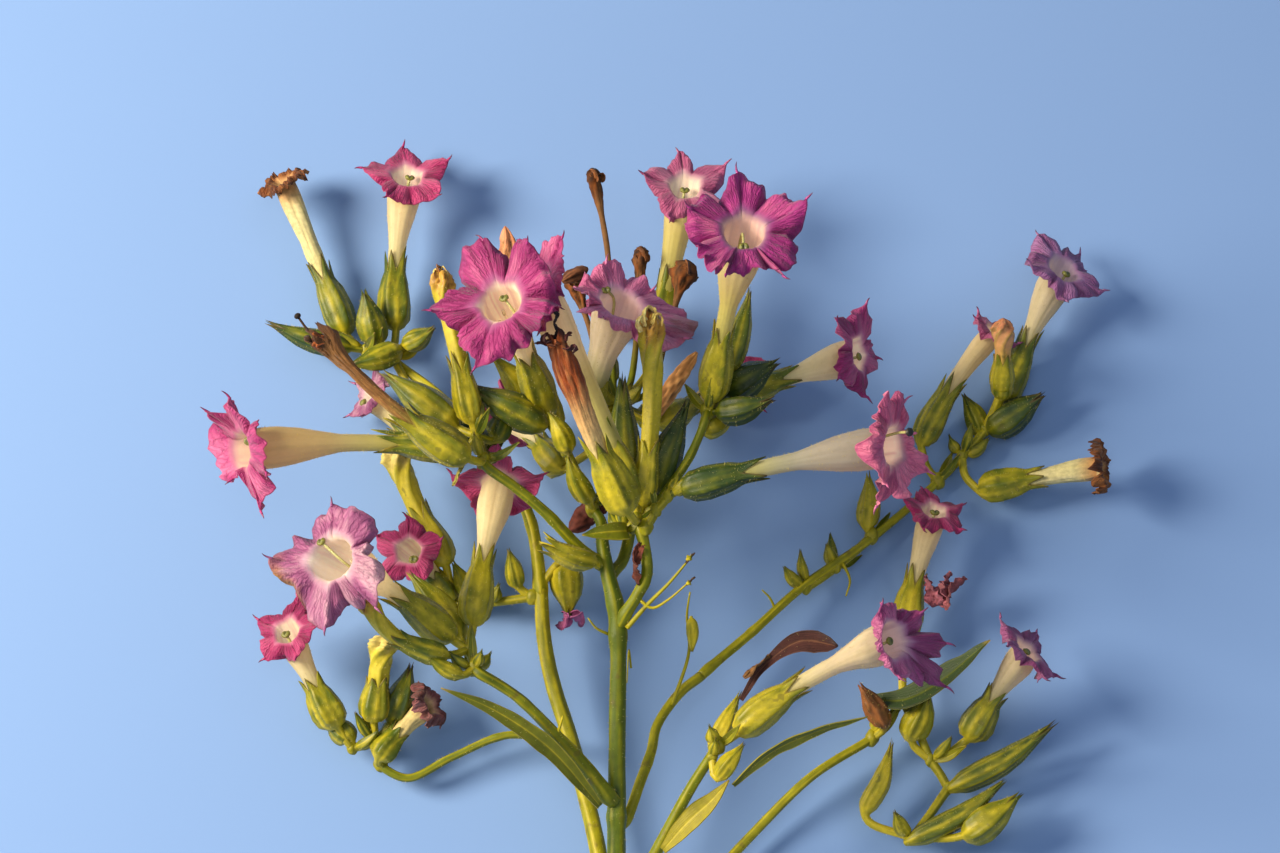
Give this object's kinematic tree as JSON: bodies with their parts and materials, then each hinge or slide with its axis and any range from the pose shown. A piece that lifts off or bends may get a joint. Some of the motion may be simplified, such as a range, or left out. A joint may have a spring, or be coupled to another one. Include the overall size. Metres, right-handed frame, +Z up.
{
  "type": "cut flowering top of a tobacco plant",
  "caption": "Cut flower head of a tobacco plant, lying down: a branching stem with tubular pink star-shaped blooms, hairy green calyces, buds, withered blooms and narrow bracts",
  "frame": {"origin": "centre of the underside of the bounding box, on the surface that the flower head lies on", "axes": "+Z up, +Y from the cut end of the stem towards the blooms, +X to the right as seen from the cut end and above"},
  "size_m": [0.213, 0.2314, 0.0876],
  "materials": {
    "stem": "soft green stem, satin, finely hairy",
    "calyx": "yellow-green hairy calyx, ribbed",
    "petal": "magenta pink petal with fine veins, cream tube",
    "withered": "dry rust-brown crumpled corolla",
    "bract": "thin green leaf blade with a paler edge"
  },
  "bodies": {
    "root": {"bloom_01": "petal", "bloom_02": "petal", "bloom_03": "petal", "bloom_04": "petal", "bloom_05": "petal", "bloom_06": "petal", "bloom_07": "petal", "bloom_08": "petal", "bloom_09": "petal", "bloom_10": "petal", "bloom_11": "petal", "bloom_12": "petal", "bloom_13": "petal", "bloom_14": "withered", "bloom_15": "petal", "bloom_16": "petal", "bloom_17": "petal", "bloom_18": "petal", "bloom_19": "petal", "bloom_20": "petal", "bloom_21": "withered", "bloom_22": "withered", "bloom_23": "withered", "bloom_24": "withered", "bloom_25": "petal", "bloom_26": "petal", "bloom_27": "petal", "stem_main": "stem", "fork_right": "stem", "bough_left": "stem", "bough_upper_left": "stem", "bough_back_left": "stem", "bough_top_left": "stem", "bough_back": "stem", "bough_back_right": "stem", "bough_far_right": "stem", "bough_front_right": "stem", "bough_low_right": "stem", "bough_low_left": "stem", "bough_right_up": "stem", "cluster_centre": "calyx", "cluster_inner_left": "calyx", "cluster_upper_left": "calyx", "cluster_left": "calyx", "cluster_top_left": "calyx", "cluster_back": "calyx", "cluster_upper_right": "calyx", "cluster_right": "calyx", "cluster_far_right": "calyx", "cluster_mid_right": "calyx", "cluster_lower_right": "calyx", "cluster_low_right": "calyx", "cluster_mid_left": "calyx", "cluster_low_left": "calyx", "bract_left": "bract", "bract_right": "bract", "bract_lower": "bract", "bract_dark": "bract", "bract_brown": "withered"}
  },
  "joints": []
}
